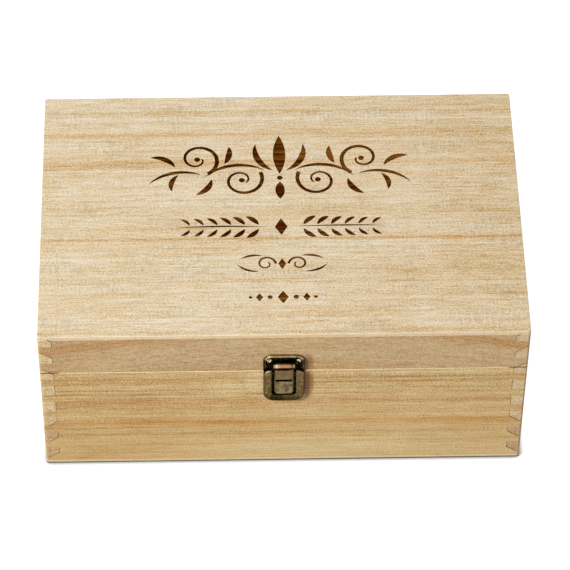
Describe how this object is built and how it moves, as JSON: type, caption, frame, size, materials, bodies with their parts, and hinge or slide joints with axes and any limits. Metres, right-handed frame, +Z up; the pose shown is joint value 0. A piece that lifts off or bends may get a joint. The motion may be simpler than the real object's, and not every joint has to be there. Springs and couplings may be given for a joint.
{
  "type": "keepsake box",
  "caption": "Rectangular finger-jointed wooden keepsake box with a hinged lid, small bronze hasp latch and an engraved scroll ornament on top.",
  "frame": {"origin": "centre of the underside", "axes": "+X to the right along the long side, front with the latch faces -Y, +Z up"},
  "size_m": [0.3, 0.2049, 0.125],
  "materials": {
    "lid_panel_wood": "bare sanded pale wood with burnt engraving",
    "panel_wood": "bare sanded pale wood",
    "lid_board_wood": "bare sanded pale wood, wavy grain",
    "base_board_wood": "bare sanded pale golden wood",
    "antique_bronze": "antique bronze plating",
    "bronzed_fasteners": "antique bronze plating, rubbed bright"
  },
  "bodies": {
    "base": {"base_front_board": "base_board_wood", "base_back_board": "base_board_wood", "base_left_board": "base_board_wood", "base_right_board": "base_board_wood", "base_bottom_panel": "panel_wood", "catch_plate": "antique_bronze", "catch_nails": "bronzed_fasteners", "hinge_left_base_leaf": "antique_bronze", "hinge_right_base_leaf": "antique_bronze", "hinge_left_pin": "antique_bronze", "hinge_right_pin": "antique_bronze", "hinge_base_screws": "bronzed_fasteners"},
    "lid": {"lid_front_board": "lid_board_wood", "lid_back_board": "lid_board_wood", "lid_left_board": "lid_board_wood", "lid_right_board": "lid_board_wood", "lid_top_panel": "lid_panel_wood", "hasp_plate": "antique_bronze", "hasp_nails": "bronzed_fasteners", "hasp_pin": "antique_bronze", "hinge_left_lid_leaf": "antique_bronze", "hinge_right_lid_leaf": "antique_bronze", "hinge_lid_screws": "bronzed_fasteners"},
    "hasp": {"hasp_tongue": "antique_bronze"}
  },
  "joints": [
    {"name": "lid_hinge", "type": "hinge", "parent": "base", "child": "lid", "pos_m": [0, 0.09875, 0.0908], "axis": [-1, 0, 0], "range_deg": [0, 98]},
    {"name": "hasp_hinge", "type": "hinge", "parent": "lid", "child": "hasp", "pos_m": [0, -0.10235, 0.098], "axis": [-1, 0, 0], "range_deg": [0, 170]}
  ]
}
